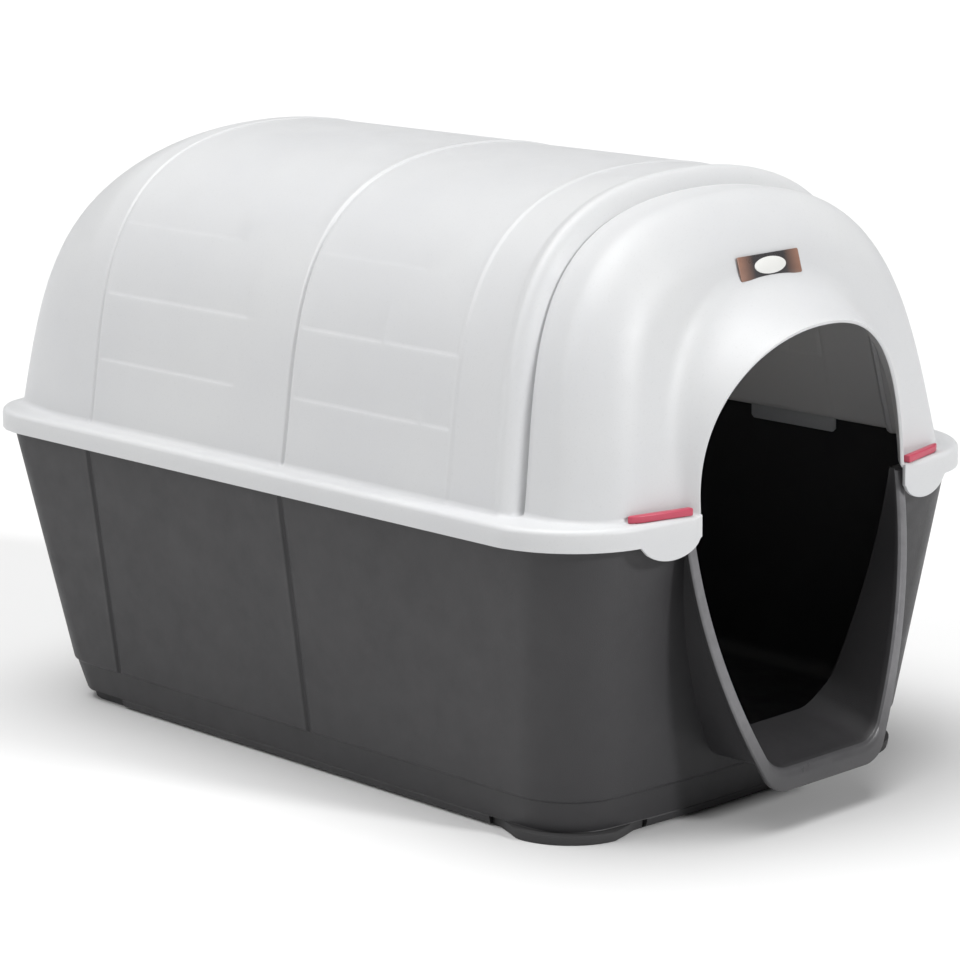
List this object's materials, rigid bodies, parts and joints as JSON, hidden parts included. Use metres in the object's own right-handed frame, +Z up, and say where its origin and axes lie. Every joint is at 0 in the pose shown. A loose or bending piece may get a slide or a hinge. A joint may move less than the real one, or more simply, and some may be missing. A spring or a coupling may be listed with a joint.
{
  "type": "animal house",
  "caption": "Two-shell moulded plastic animal house: a tapered tub with a porch trough under a lift-off vaulted roof with an arched doorway, held together by keys in the rim.",
  "frame": {"origin": "on the ground, under the centre of the whole object's box", "axes": "+Z up; the doorway faces -Y; X across the width"},
  "size_m": [0.74, 1.12, 0.732],
  "materials": {
    "tub_plastic": "charcoal polypropylene with a fine moulded grain",
    "roof_plastic": "off-white polypropylene, satin",
    "key_plastic": "red plastic, semi-gloss",
    "pad_rubber": "black rubber, matt",
    "badge_plate": "printed plate, blank"
  },
  "bodies": {
    "tub": {"base_tub": "tub_plastic", "foot_pad_front_left": "pad_rubber", "foot_pad_front_right": "pad_rubber", "foot_pad_rear_left": "pad_rubber", "foot_pad_rear_right": "pad_rubber"},
    "roof": {"roof_shell": "roof_plastic", "name_badge": "badge_plate"},
    "key_front_left": {"lock_key_front_left": "key_plastic"},
    "key_front_right": {"lock_key_front_right": "key_plastic"},
    "key_rear_left": {"lock_key_rear_left": "key_plastic"},
    "key_rear_right": {"lock_key_rear_right": "key_plastic"}
  },
  "joints": [
    {"name": "roof_lift", "type": "slide", "parent": "tub", "child": "roof", "axis": [0, 0, 1], "range_m": [0, 0.25]},
    {"name": "key_front_left_pull", "type": "slide", "parent": "roof", "child": "key_front_left", "axis": [0, 0, 1], "range_m": [0, 0.045]},
    {"name": "key_front_right_pull", "type": "slide", "parent": "roof", "child": "key_front_right", "axis": [0, 0, 1], "range_m": [0, 0.045]},
    {"name": "key_rear_left_pull", "type": "slide", "parent": "roof", "child": "key_rear_left", "axis": [0, 0, 1], "range_m": [0, 0.045]},
    {"name": "key_rear_right_pull", "type": "slide", "parent": "roof", "child": "key_rear_right", "axis": [0, 0, 1], "range_m": [0, 0.045]}
  ]
}
